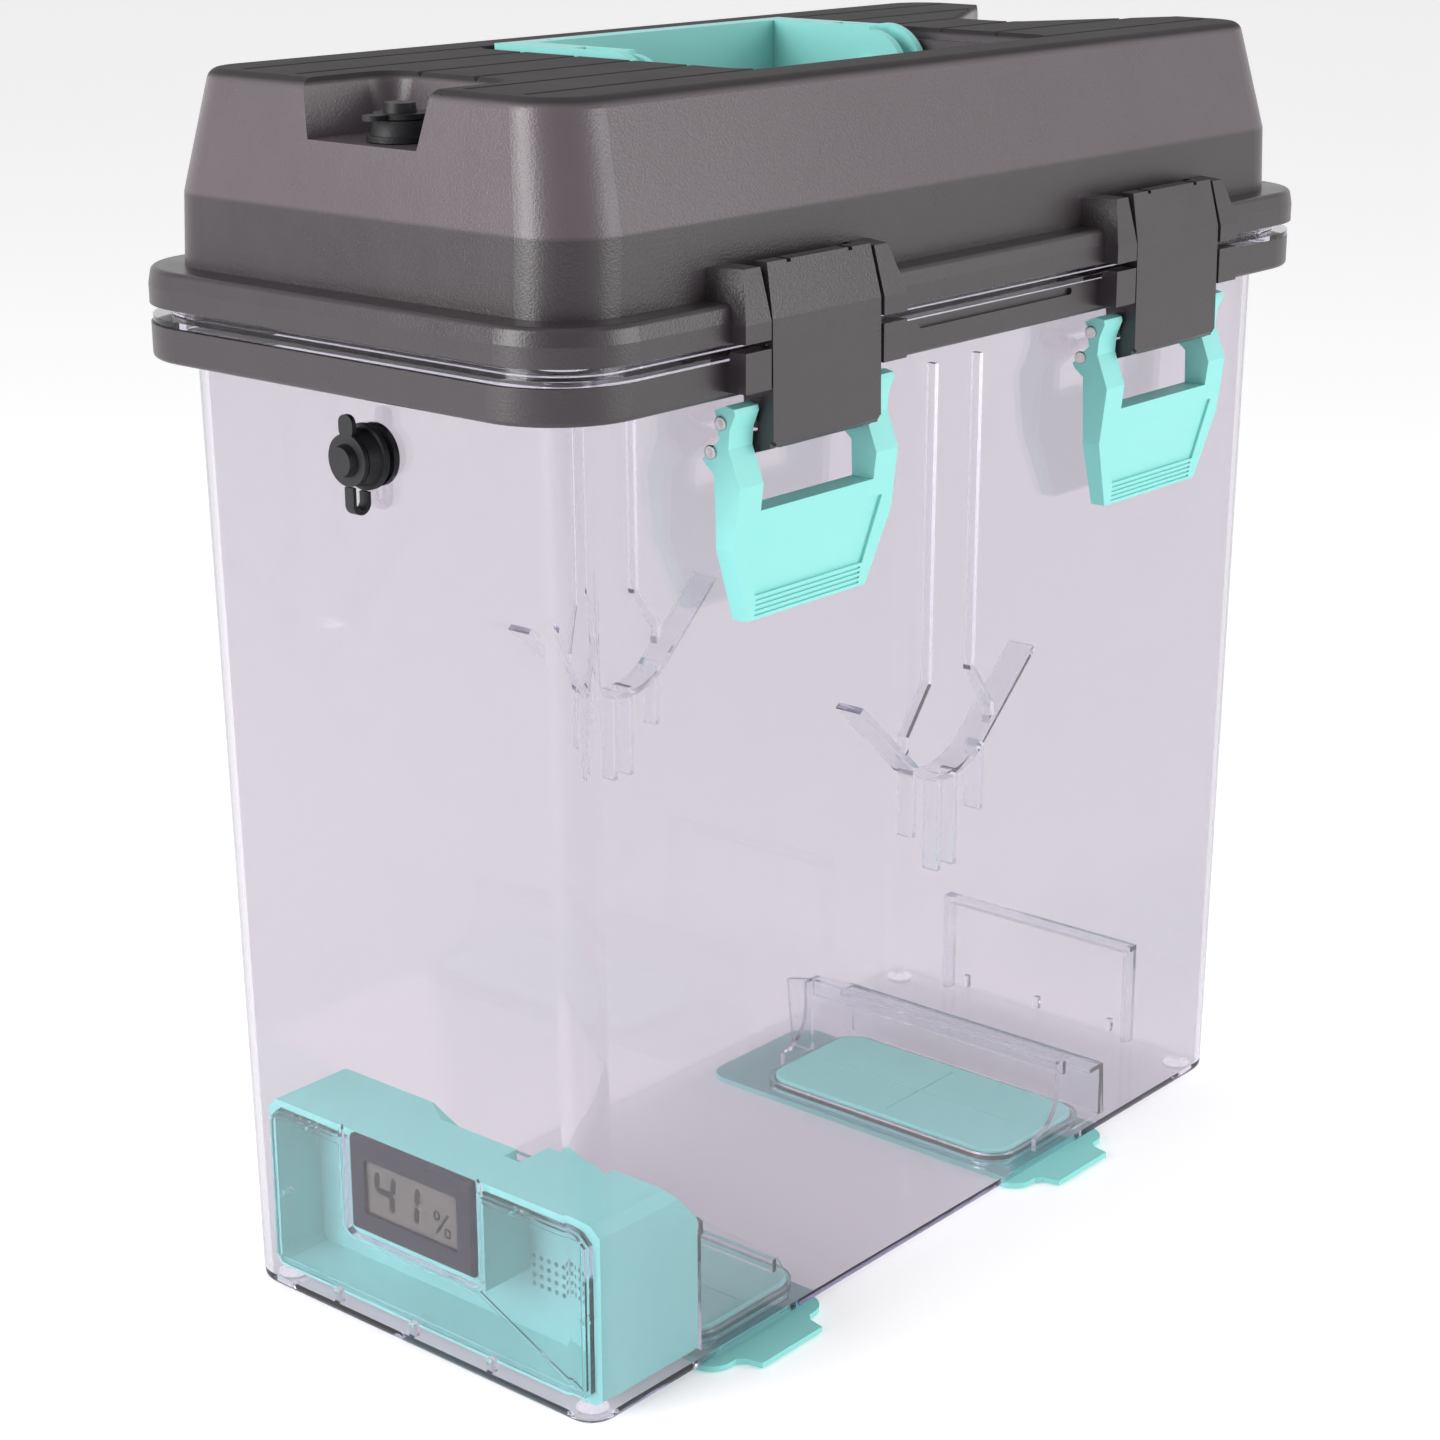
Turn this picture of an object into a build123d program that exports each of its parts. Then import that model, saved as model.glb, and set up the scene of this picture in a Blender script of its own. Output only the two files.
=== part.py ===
from build123d import *
from math import atan2, cos, sin
import os

# Filament dryer box, in millimetres.
# Origin at the middle of the footprint on the standing surface, +Z up.
# X runs along the long walls, with the humidity module at the -X end.
# The two latches are on the -Y wall and the lid hinges on the +Y wall.

os.makedirs("parts", exist_ok=True)

# ---------------------------------------------------------------- driving sizes
# clear bin
floor_bottom = 2.5
floor_thickness = 3.0
wall = 2.5
ledge_bottom = 281.0
ledge_thickness = 1.5
rim_top = 285.2
bin_bottom_length = 303.0
bin_bottom_width = 134.0
bin_draft_length = 9.0
bin_draft_width = 3.0
bin_corner = 8.5
rim_length = 336.0
rim_width = 160.0
rim_corner = 24.0

# dark band round the rim
band_bottom = 271.7
band_top = 280.8
band_length = 338.0
band_width = 159.0

# lid
lid_bottom = 285.4
flange_top = 294.8
flange_length = 336.0
flange_width = 162.0
dome_length = 318.0
dome_width = 145.6
dome_corner = 17.5
kink_height = 313.4
lid_top = 344.3
top_length = 306.0
top_width = 130.0
lid_wall = 2.5
groove_pitch = 19.6

# handle and its well
well_length = 134.0
well_width = 100.0
pit_length = 126.0
pit_width = 97.0
pit_floor = 317.5
handle_pivot_y = 4.0
handle_pivot_z = 332.0
handle_top = 345.2
handle_grip_y = 40.0
handle_inner_x = 50.5
handle_outer_x = 60.5
handle_lug_x = 55.7
handle_pin_radius = 2.0

# latches
latch_x = 80.0
pivot_y = -77.5
pivot_z = 265.5
link_y = -74.3
link_z = 258.0
pin_radius = 1.5
pin_fit = 0.05
arm_inner = 22.5
arm_outer = 31.5
block_inner = 22.2
block_outer = 31.8
block_bottom = 273.4
lug_x = 16.3
plate_half = 21.3
plate_kink = 290.2

# lid hinge
hinge_y = 82.0
hinge_z = 286.0
hinge_radius = 3.6
knuckle_x = 13.4
knuckle_width = 10.0

# bottom hatches
hatch_xs = {"near": -82.0, "far": 61.0}
hatch_y = -12.0
hatch_length = 94.0
hatch_width = 46.0
hatch_corner = 9.0
hatch_gap = 0.7
hatch_flange_length = 127.0
hatch_flange_width = 50.0
hatch_flange_y = -6.5
guard_ends = (-60.7, 40.4)
bay_top = 40.5

# humidity module
module_front = -144.3
module_back = -107.2
module_half_width = 63.0
module_bottom = 5.9
module_top = 58.4
meter_y = 4.0
meter_z = 44.0
meter_length = 48.0
meter_height = 28.6
window_length = 36.0
window_height = 16.4
pocket_depth = 17.0
mesh_y = -33.0
mesh_z = 27.0

# filament outlets
outlet_bore = 2.1
outlet_seat = 6.0
lid_outlet_x = -143.0
notch_floor = 330.0
notch_y = -2.0
lid_outlet_y = -3.0
wall_outlet_z = 254.0

# spool cradles
cradle_depth = 8.5
cradle_gap = 0.15
guide_top = 264.0


# ---------------------------------------------------------------- shared helpers
def bin_size(z, inset=0.0):
    """Length, width and corner radius of the drafted bin at a height."""
    share = (z - floor_bottom) / (ledge_bottom - floor_bottom)
    length = bin_bottom_length + bin_draft_length * share - 2 * inset
    width = bin_bottom_width + bin_draft_width * share - 2 * inset
    return length, width, bin_corner + share - inset


def finish(piece, name):
    """Label a finished piece and write it as its own STEP file."""
    piece.part.label = name
    export_step(piece.part, f"parts/{name}.step")


def side_plane(x):
    """A plane whose sketch axes are Y and Z, placed at a given X and facing +X."""
    return Plane(origin=(x, 0, 0), x_dir=(0, 1, 0), z_dir=(1, 0, 0))


def front_plane(y):
    """A plane whose sketch axes are X and Z, placed at a given Y and facing -Y."""
    return Plane(origin=(0, y, 0), x_dir=(1, 0, 0), z_dir=(0, -1, 0))


# ---------------------------------------------------------------- clear bin
def make_clear_bin():
    inner_bottom = floor_bottom + floor_thickness
    with BuildPart() as clear_bin:
        for z in (floor_bottom, ledge_bottom):
            with BuildSketch(Plane.XY.offset(z)):
                length, width, corner = bin_size(z)
                RectangleRounded(length, width, corner)
        loft()
        fillet(clear_bin.edges().group_by(Axis.Z)[0], radius=3.0)
        # rim ledge and the lip that the lid seal rests on
        with BuildSketch(Plane.XY.offset(ledge_bottom)):
            RectangleRounded(rim_length, rim_width, rim_corner)
        extrude(amount=ledge_thickness)
        with BuildSketch(Plane.XY.offset(ledge_bottom)):
            RectangleRounded(rim_length - 9, rim_width - 9, rim_corner - 4)
        extrude(amount=rim_top - ledge_bottom)
        with BuildSketch(Plane.XY.offset(ledge_bottom + ledge_thickness)):
            RectangleRounded(rim_length - 15, rim_width - 15, rim_corner - 7)
        extrude(amount=rim_top - ledge_bottom, mode=Mode.SUBTRACT)
        # cavity
        for z in (inner_bottom, ledge_bottom + 10):
            with BuildSketch(Plane.XY.offset(z)):
                length, width, corner = bin_size(z, wall)
                RectangleRounded(length, width, corner)
        loft(mode=Mode.SUBTRACT)
        # collars round the two floor openings, then the openings
        for x in hatch_xs.values():
            with BuildSketch(Plane.XY.offset(inner_bottom)):
                with Locations((x, hatch_y)):
                    RectangleRounded(hatch_width + 3, hatch_length + 3, hatch_corner + 1.5)
            extrude(amount=2.6)
            with BuildSketch(Plane.XY.offset(floor_bottom - 1)):
                with Locations((x, hatch_y)):
                    RectangleRounded(hatch_width, hatch_length, hatch_corner)
            extrude(amount=floor_thickness + 6, mode=Mode.SUBTRACT)
        # short locating ribs on both end walls
        for side in (-1, 1):
            for y in (-27.5, 2.5, 32.5):
                with BuildSketch(Plane.XY.offset(inner_bottom - 0.5)):
                    with Locations((side * 148.3, y)):
                        Rectangle(2.4, 2.0)
                extrude(amount=4.6)
        # four standing feet
        with BuildSketch(Plane.XY.offset(floor_bottom + 0.5)):
            with GridLocations(2 * 142.5, 2 * 58.0, 2, 2):
                Circle(4.6)
        extrude(amount=-(floor_bottom + 0.5), taper=15)
        # bore for the wall outlet
        with BuildSketch(side_plane(-170)):
            with Locations((0, wall_outlet_z)):
                Circle(outlet_seat)
        extrude(amount=30, mode=Mode.SUBTRACT)
    return clear_bin


# ---------------------------------------------------------------- dark band
def make_rim_band():
    with BuildPart() as rim_band:
        with BuildSketch(Plane.XY.offset(band_bottom)):
            RectangleRounded(band_length, band_width, rim_corner)
        extrude(amount=band_top - band_bottom)
        fillet(rim_band.edges().group_by(Axis.Z)[0], radius=1.2)
        # the band clears the drafted bin by a small fit gap
        with BuildSketch(Plane.XY.offset(band_bottom - 1)):
            length, width, corner = bin_size(ledge_bottom, -0.15)
            RectangleRounded(length, width, corner)
        extrude(amount=band_top - band_bottom + 2, mode=Mode.SUBTRACT)
        # long shallow slot between the latches
        with BuildSketch(front_plane(-band_width / 2)):
            with Locations((0, 279.2)):
                SlotOverall(70, 2.0)
        extrude(amount=-1.2, mode=Mode.SUBTRACT)
        for x in (-latch_x, latch_x):
            # guard blocks beside one latch and the two lugs that hold its pivot pin
            block_middle = (block_inner + block_outer) / 2
            for side in (-1, 1):
                with BuildSketch(Plane.XY.offset(block_bottom)):
                    with Locations((x + side * block_middle, -82.0)):
                        Rectangle(block_outer - block_inner, 7.2)
                extrude(amount=band_top - block_bottom)
                with BuildSketch(Plane.XY.offset(band_top - 0.5)):
                    with Locations((x + side * block_middle, -83.1)):
                        Rectangle(block_outer - block_inner, 5.0)
                extrude(amount=3.0)
                with BuildSketch(side_plane(x + side * lug_x - 2.0)):
                    with BuildLine():
                        Polyline(
                            (-79.4, 274.5),
                            (-80.6, pivot_z),
                            (-73.9, pivot_z),
                            (-73.0, 274.5),
                            close=True,
                        )
                    make_face()
                    with Locations((pivot_y + 0.25, pivot_z)):
                        Circle(3.3)
                extrude(amount=4.0)
                with BuildSketch(side_plane(x + side * lug_x - 3.0)):
                    with Locations((pivot_y, pivot_z)):
                        Circle(pin_radius)
                extrude(amount=6.0, mode=Mode.SUBTRACT)
            # the two outer knuckles of one lid hinge, on the rear face of the band
            for side in (-1, 1):
                with BuildSketch(side_plane(x + side * knuckle_x - knuckle_width / 2)):
                    with BuildLine():
                        Polyline(
                            (band_width / 2 - 1, 273.0),
                            (hinge_y + 0.5, 273.0),
                            (hinge_y + hinge_radius, hinge_z - 5),
                            (hinge_y + hinge_radius, hinge_z),
                            (hinge_y - 1.5, hinge_z),
                            (hinge_y - 1.5, band_top),
                            (band_width / 2 - 1, band_top),
                            close=True,
                        )
                    make_face()
                    with Locations((hinge_y, hinge_z)):
                        Circle(hinge_radius)
                extrude(amount=knuckle_width)
                with BuildSketch(side_plane(x + side * knuckle_x - knuckle_width / 2 - 1)):
                    with Locations((hinge_y, hinge_z)):
                        Circle(pin_radius)
                extrude(amount=knuckle_width + 2, mode=Mode.SUBTRACT)
    return rim_band


# ---------------------------------------------------------------- lid
def make_lid_shell():
    with BuildPart() as lid_shell:
        # flange and two-stage dome of the lid, hollowed from below
        with BuildSketch(Plane.XY.offset(lid_bottom)):
            RectangleRounded(flange_length, flange_width, rim_corner)
        extrude(amount=5.0)
        with BuildSketch(Plane.XY.offset(lid_bottom + 5.0)):
            RectangleRounded(flange_length, flange_width, rim_corner)
        with BuildSketch(Plane.XY.offset(flange_top)):
            RectangleRounded(flange_length - 1.6, flange_width - 1.6, rim_corner - 0.8)
        loft()
        fillet(lid_shell.edges().group_by(Axis.Z)[-1], radius=1.6)
        with BuildSketch(Plane.XY.offset(flange_top)):
            RectangleRounded(dome_length, dome_width, dome_corner)
        with BuildSketch(Plane.XY.offset(kink_height)):
            RectangleRounded(dome_length - 2, dome_width - 0.4, dome_corner)
        loft()
        with BuildSketch(Plane.XY.offset(kink_height)):
            RectangleRounded(dome_length - 2, dome_width - 0.4, dome_corner)
        with BuildSketch(Plane.XY.offset(lid_top)):
            RectangleRounded(top_length, top_width, dome_corner - 2)
        loft()
        fillet(lid_shell.edges().group_by(Axis.Z)[-1], radius=3.5)
        # inside of the dome, a constant wall in from the outside
        inset = 2 * lid_wall
        with BuildSketch(Plane.XY.offset(lid_bottom)):
            RectangleRounded(dome_length - inset, dome_width - inset, dome_corner - lid_wall)
        with BuildSketch(Plane.XY.offset(kink_height)):
            RectangleRounded(dome_length - 2 - inset, dome_width - 0.4 - inset, dome_corner - lid_wall)
        loft(mode=Mode.SUBTRACT)
        with BuildSketch(Plane.XY.offset(kink_height)):
            RectangleRounded(dome_length - 2 - inset, dome_width - 0.4 - inset, dome_corner - lid_wall)
        with BuildSketch(Plane.XY.offset(lid_top - lid_wall)):
            RectangleRounded(top_length + 0.8 - inset, top_width + 1.2 - inset, dome_corner - 2 - lid_wall)
        loft(mode=Mode.SUBTRACT)
        # walled pockets in the dome: the handle well, the notch and the far scoop
        roof = lid_top - 1.0
        # solid walls of the pockets
        with BuildSketch(Plane.XY.offset(pit_floor - lid_wall)):
            RectangleRounded(pit_length + 2 * lid_wall, pit_width + 2 * lid_wall, 6 + lid_wall)
        extrude(amount=roof - pit_floor + lid_wall)
        with BuildSketch(Plane.XY.offset(lid_top - 3.3 - lid_wall)):
            RectangleRounded(well_length + 2 * lid_wall, well_width + 2 * lid_wall, 8 + lid_wall)
        extrude(amount=3.3 + lid_wall - 1)
        with BuildSketch(Plane.XY.offset(notch_floor - lid_wall)):
            with Locations((-137.0, notch_y)):
                Rectangle(31.5, 50.0)
        extrude(amount=roof - notch_floor + lid_wall)
        with BuildSketch(Plane.XY.offset(notch_floor - lid_wall)) as scoop_wall:
            with BuildLine():
                Polyline(
                    (98.0, -12),
                    (98.0, 12),
                    (148.0, 40),
                    (152.0, 40),
                    (152.0, -40),
                    (148.0, -40),
                    close=True,
                )
            make_face()
            fillet(scoop_wall.vertices().group_by(Axis.X)[0], radius=11)
        extrude(amount=roof - notch_floor + lid_wall)
        # hollows of the pockets
        with BuildSketch(Plane.XY.offset(pit_floor)):
            RectangleRounded(pit_length, pit_width, 6)
        extrude(amount=lid_top - pit_floor + 5, mode=Mode.SUBTRACT)
        with BuildSketch(Plane.XY.offset(lid_top - 3.3)):
            RectangleRounded(well_length, well_width, 8)
        extrude(amount=8, mode=Mode.SUBTRACT)
        with BuildSketch(Plane.XY.offset(notch_floor)):
            with Locations((-150.0, notch_y)):
                RectangleRounded(46, 38, 5)
        extrude(amount=lid_top - notch_floor + 5, taper=-13, mode=Mode.SUBTRACT)
        with BuildSketch(Plane.XY.offset(notch_floor)) as scoop_hollow:
            with BuildLine():
                Polyline(
                    (100.5, -11),
                    (100.5, 11),
                    (148.0, 37),
                    (170.0, 47),
                    (170.0, -47),
                    (148.0, -37),
                    close=True,
                )
            make_face()
            fillet(scoop_hollow.vertices().group_by(Axis.X)[0], radius=9)
        extrude(amount=lid_top - notch_floor + 5, mode=Mode.SUBTRACT)
        # seal groove under the flange
        with BuildSketch(Plane.XY.offset(lid_bottom)):
            RectangleRounded(rim_length - 8.4, rim_width - 8.4, rim_corner - 4)
            RectangleRounded(rim_length - 16, rim_width - 16, rim_corner - 8, mode=Mode.SUBTRACT)
        extrude(amount=2.6, mode=Mode.SUBTRACT)
        # shallow parallel grooves across the top
        for step in (-2.5, -1.5, -0.5, 0.5, 1.5, 2.5):
            y = step * groove_pitch
            with BuildSketch(side_plane(-147.0)):
                with BuildLine():
                    Polyline(
                        (y - 1.3, lid_top + 0.3),
                        (y, lid_top - 1.3),
                        (y + 1.3, lid_top + 0.3),
                        close=True,
                    )
                make_face()
            extrude(amount=294.0, mode=Mode.SUBTRACT)
        for x in (-latch_x, latch_x):
            # guard blocks beside one hook plate, and the cleared flange between them
            with BuildSketch(Plane.XY.offset(lid_bottom - 1)):
                with Locations((x, -80.5)):
                    Rectangle(2 * block_inner, 6.0)
            extrude(amount=flange_top - lid_bottom + 3, mode=Mode.SUBTRACT)
            for side in (-1, 1):
                inner = x + side * block_inner
                outer = x + side * block_outer
                top_outer = x + side * 27.9
                with BuildSketch(Plane.XY.offset(lid_bottom)):
                    with Locations(((inner + outer) / 2, -80.9)):
                        Rectangle(block_outer - block_inner, 9.4)
                extrude(amount=290.0 - lid_bottom)
                with BuildSketch(Plane.XY.offset(290.0)):
                    with BuildLine():
                        Polyline(
                            (inner, -71.6),
                            (outer, -71.6),
                            (outer, -85.6),
                            (inner, -85.6),
                            close=True,
                        )
                    make_face()
                with BuildSketch(Plane.XY.offset(302.6)):
                    with BuildLine():
                        Polyline(
                            (inner, -71.6),
                            (outer, -71.6),
                            (top_outer, -82.0),
                            (inner, -82.0),
                            close=True,
                        )
                    make_face()
                loft()
                # room in the flange for the band's hinge knuckles
                with BuildSketch(Plane.XY.offset(lid_bottom - 1)):
                    with Locations((x + side * knuckle_x, 80.5)):
                        Rectangle(knuckle_width + 0.8, 6.0)
                extrude(amount=flange_top - lid_bottom + 3, mode=Mode.SUBTRACT)
            # the middle knuckle of one lid hinge, on the rear edge of the flange
            with BuildSketch(side_plane(x - 8.0)):
                with BuildLine():
                    Polyline(
                        (flange_width / 2 - 2, lid_bottom),
                        (hinge_y, lid_bottom),
                        (hinge_y + hinge_radius, hinge_z),
                        (hinge_y + 1.0, 291.0),
                        (flange_width / 2 - 2, 293.5),
                        close=True,
                    )
                make_face()
                with Locations((hinge_y, hinge_z)):
                    Circle(hinge_radius)
            extrude(amount=16.0)
            with BuildSketch(side_plane(x - 9.0)):
                with Locations((hinge_y, hinge_z)):
                    Circle(pin_radius + pin_fit)
            extrude(amount=18.0, mode=Mode.SUBTRACT)
        # lugs that carry the handle
        for side in (-1, 1):
            with BuildSketch(side_plane(side * handle_lug_x - 1.5)):
                with BuildLine():
                    Polyline(
                        (handle_pivot_y - 9, pit_floor - 1),
                        (handle_pivot_y - 5, handle_pivot_z),
                        (handle_pivot_y + 5, handle_pivot_z),
                        (handle_pivot_y + 9, pit_floor - 1),
                        close=True,
                    )
                make_face()
                with Locations((handle_pivot_y, handle_pivot_z)):
                    Circle(5.2)
            extrude(amount=3.0)
            with BuildSketch(side_plane(side * handle_lug_x - 3)):
                with Locations((handle_pivot_y, handle_pivot_z)):
                    Circle(handle_pin_radius)
            extrude(amount=6.0, mode=Mode.SUBTRACT)
        # bore for the lid outlet
        with BuildSketch(Plane.XY.offset(notch_floor - 5)):
            with Locations((lid_outlet_x, lid_outlet_y)):
                Circle(outlet_seat)
        extrude(amount=10, mode=Mode.SUBTRACT)
    return lid_shell


def make_lid_seal():
    with BuildPart() as lid_seal:
        with BuildSketch(Plane.XY.offset(rim_top + 0.1)):
            RectangleRounded(rim_length - 9, rim_width - 9, rim_corner - 4)
            RectangleRounded(rim_length - 15.4, rim_width - 15.4, rim_corner - 7.5, mode=Mode.SUBTRACT)
        extrude(amount=2.5)
    return lid_seal


# ---------------------------------------------------------------- hinge and latch pins
def make_hinge_pins():
    with BuildPart() as hinge_pins:
        for x in (-latch_x, latch_x):
            with BuildSketch(side_plane(x - 18.6)):
                with Locations((hinge_y, hinge_z)):
                    Circle(pin_radius)
            extrude(amount=37.2)
    return hinge_pins


def make_pivot_pins():
    with BuildPart() as pivot_pins:
        for x in (-latch_x, latch_x):
            with BuildSketch(side_plane(x - arm_outer)):
                with Locations((pivot_y, pivot_z)):
                    Circle(pin_radius)
            extrude(amount=2 * arm_outer)
    return pivot_pins


def make_link_pin(x):
    with BuildPart() as link_pin:
        with BuildSketch(side_plane(x - arm_outer)):
            with Locations((link_y, link_z)):
                Circle(pin_radius)
        extrude(amount=2 * arm_outer)
    return link_pin


# ---------------------------------------------------------------- latch lever
def make_latch_lever(x):
    lean = atan2(4.4, 35.7)
    face_plane = Plane(
        origin=(x, -79.0 - 4.4 / 2, 214.3 + 35.7 / 2),
        x_dir=(1, 0, 0),
        z_dir=(0, -cos(lean), -sin(lean)),
    )
    half_face = 35.7 / 2 / cos(lean)
    with BuildPart() as latch_lever:
        # side outline with the claw on top and the spur behind the link pin
        with BuildSketch(side_plane(x - arm_outer)):
            with BuildLine():
                Polyline(
                    (-79.0, 214.3),
                    (-83.4, 250.0),
                    (-79.8, 259.3),
                    (-80.2, 264.0),
                    (-81.9, 268.0),
                    (-81.6, 269.3),
                    (-78.8, 269.9),
                    (-75.3, 268.3),
                    (-76.4, 266.4),
                    (-76.4, 263.4),
                    (-77.0, 261.6),
                    (-75.2, 259.8),
                    (-71.5, 256.0),
                    (-72.5, 254.6),
                    (-75.2, 252.5),
                    (-75.8, 235.0),
                    (-74.5, 214.3),
                    close=True,
                )
            make_face()
        extrude(amount=2 * arm_outer)
        # window between the two arms
        with BuildSketch(front_plane(-90)):
            with Locations((x, 243.0 + 20)):
                Rectangle(2 * arm_inner, 40)
        extrude(amount=-30, mode=Mode.SUBTRACT)
        # tapered lower outline
        with BuildSketch(front_plane(-90)):
            for side in (-1, 1):
                outside = x + side * (arm_outer + 1)
                with BuildLine():
                    Polyline((x + side * 23.8, 214.0), (outside, 236.5), (outside, 214.0), close=True)
                make_face()
        extrude(amount=-30, mode=Mode.SUBTRACT)
        # recessed panel, then the grip ribs below it
        with BuildSketch(face_plane):
            with BuildLine():
                Polyline(
                    (-27.0, 24.0 - half_face),
                    (27.0, 24.0 - half_face),
                    (21.6, 6.4 - half_face),
                    (-21.6, 6.4 - half_face),
                    close=True,
                )
            make_face()
        extrude(amount=-0.8, mode=Mode.SUBTRACT)
        for rung in range(4):
            with BuildSketch(face_plane):
                with Locations((0, 1.2 + 1.35 * rung - half_face)):
                    Rectangle(42.0, 0.6)
            extrude(amount=-0.5, mode=Mode.SUBTRACT)
        # bores for the pivot pin and the link pin
        with BuildSketch(side_plane(x - arm_outer - 1)):
            with Locations((pivot_y, pivot_z), (link_y, link_z)):
                Circle(pin_radius + pin_fit)
        extrude(amount=2 * arm_outer + 2, mode=Mode.SUBTRACT)
    return latch_lever


# ---------------------------------------------------------------- hook plate
def make_hook_plate(x):
    with BuildPart() as hook_plate:
        with BuildSketch(side_plane(x - plate_half)):
            with BuildLine():
                Polyline(
                    (-85.6, 259.5),
                    (-85.2, plate_kink),
                    (-82.4, 303.4),
                    (-78.4, 303.4),
                    (-78.4, 301.4),
                    (-80.6, 301.0),
                    (-83.0, 289.8),
                    (-83.2, 258.2),
                    (-84.4, 258.2),
                    close=True,
                )
            make_face()
        extrude(amount=2 * plate_half)
        # the slanted upper part is slightly narrower
        for side in (-1, 1):
            with BuildSketch(front_plane(-90)):
                with BuildLine():
                    Polyline(
                        (x + side * (plate_half + 1), plate_kink),
                        (x + side * plate_half, plate_kink),
                        (x + side * (plate_half - 1.2), 304.0),
                        (x + side * (plate_half + 1), 304.0),
                        close=True,
                    )
                make_face()
            extrude(amount=-20, mode=Mode.SUBTRACT)
            # rounded lower corner
            with BuildSketch(front_plane(-90)) as lower_corner:
                with Locations((x + side * (plate_half - 2), 258.2)):
                    Rectangle(8.0, 4.0)
                with Locations((x + side * (plate_half - 4.0), 262.2)):
                    Circle(4.0, mode=Mode.SUBTRACT)
            extrude(amount=-7.6, mode=Mode.SUBTRACT)
        # small steps in the top edge
        with BuildSketch(front_plane(-90)):
            with Locations((x - 12.0, 303.4)):
                Rectangle(1.6, 1.6)
            with Locations((x + 12.0, 303.4)):
                Rectangle(1.6, 1.6)
        extrude(amount=-20, mode=Mode.SUBTRACT)
        for side in (-1, 1):
            inner_face = x + side * (plate_half - 1.0) - 1.0
            # shallow stiffening flange, then the ear round the link pin
            with BuildSketch(side_plane(inner_face)):
                with BuildLine():
                    Polyline(
                        (-84.5, 262.0),
                        (-81.7, 268.0),
                        (-81.7, 289.0),
                        (-84.5, 289.0),
                        close=True,
                    )
                make_face()
                with BuildLine():
                    Polyline(
                        (-84.5, 258.4),
                        (link_y, link_z - 2.9),
                        (link_y, link_z + 2.9),
                        (-80.4, 262.5),
                        (-81.7, 270.0),
                        (-84.5, 270.0),
                        close=True,
                    )
                make_face()
                with Locations((link_y, link_z)):
                    Circle(2.9)
            extrude(amount=2.0)
            with BuildSketch(side_plane(inner_face - 1)):
                with Locations((link_y, link_z)):
                    Circle(pin_radius + pin_fit)
            extrude(amount=4.0, mode=Mode.SUBTRACT)
    return hook_plate


# ---------------------------------------------------------------- carry handle
def make_carry_handle():
    grip_back = handle_grip_y + 6.5
    plate = 2.6
    with BuildPart() as carry_handle:
        # two arms, each a pair of round-ended plates on either side of the lid's lug
        for side in (-1, 1):
            for near_x, far_x, end_radius in (
                (handle_inner_x, handle_inner_x + plate, 12.2),
                (handle_outer_x - plate, handle_outer_x, 13.6),
            ):
                start = min(side * near_x, side * far_x)
                with BuildSketch(side_plane(start)):
                    with BuildLine():
                        Polyline(
                            (handle_pivot_y, handle_top),
                            (grip_back, handle_top),
                            (grip_back, 327.0),
                            (handle_grip_y - 6, 325.0),
                            (handle_pivot_y, handle_pivot_z - end_radius + 0.4),
                            close=True,
                        )
                    make_face()
                    with Locations((handle_pivot_y, handle_pivot_z)):
                        Circle(end_radius)
                extrude(amount=plate)
            # web that joins the two plates of an arm
            web_middle = side * (handle_inner_x + handle_outer_x) / 2
            with BuildSketch(Plane.XY.offset(handle_top - plate)):
                with Locations((web_middle, (handle_pivot_y + 16 + grip_back) / 2)):
                    Rectangle(handle_outer_x - handle_inner_x, grip_back - handle_pivot_y - 16)
            extrude(amount=plate)
            # pivot boss on the inner plate
            with BuildSketch(side_plane(side * (handle_inner_x - 0.6) - 0.7)):
                with Locations((handle_pivot_y, handle_pivot_z)):
                    Circle(4.6)
            extrude(amount=1.4)
        # grip: a channel open below
        with BuildSketch(Plane.XY.offset(327.0)):
            with Locations((0, (handle_grip_y + grip_back) / 2)):
                Rectangle(2 * handle_outer_x, grip_back - handle_grip_y)
        extrude(amount=handle_top - 327.0)
        with BuildSketch(Plane.XY.offset(327.0)):
            with Locations((0, (handle_grip_y + grip_back) / 2)):
                Rectangle(2 * handle_inner_x, grip_back - handle_grip_y - 4.0)
        extrude(amount=handle_top - 327.0 - plate, mode=Mode.SUBTRACT)
        # finger notches along the top edge of the grip
        with BuildSketch(Plane.XY.offset(handle_top - 0.5)):
            with GridLocations(12.0, 1, 8, 1):
                with Locations((0, handle_grip_y + 3.25)):
                    Rectangle(1.2, 3.0)
        extrude(amount=1, mode=Mode.SUBTRACT)
        with BuildSketch(side_plane(-70)):
            with Locations((handle_pivot_y, handle_pivot_z)):
                Circle(handle_pin_radius + pin_fit)
        extrude(amount=140, mode=Mode.SUBTRACT)
    return carry_handle


def make_handle_pins():
    with BuildPart() as handle_pins:
        for side in (-1, 1):
            start = min(side * (handle_inner_x - 0.8), side * (handle_outer_x - 0.8))
            with BuildSketch(side_plane(start)):
                with Locations((handle_pivot_y, handle_pivot_z)):
                    Circle(handle_pin_radius)
            extrude(amount=handle_outer_x - handle_inner_x)
    return handle_pins


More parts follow.
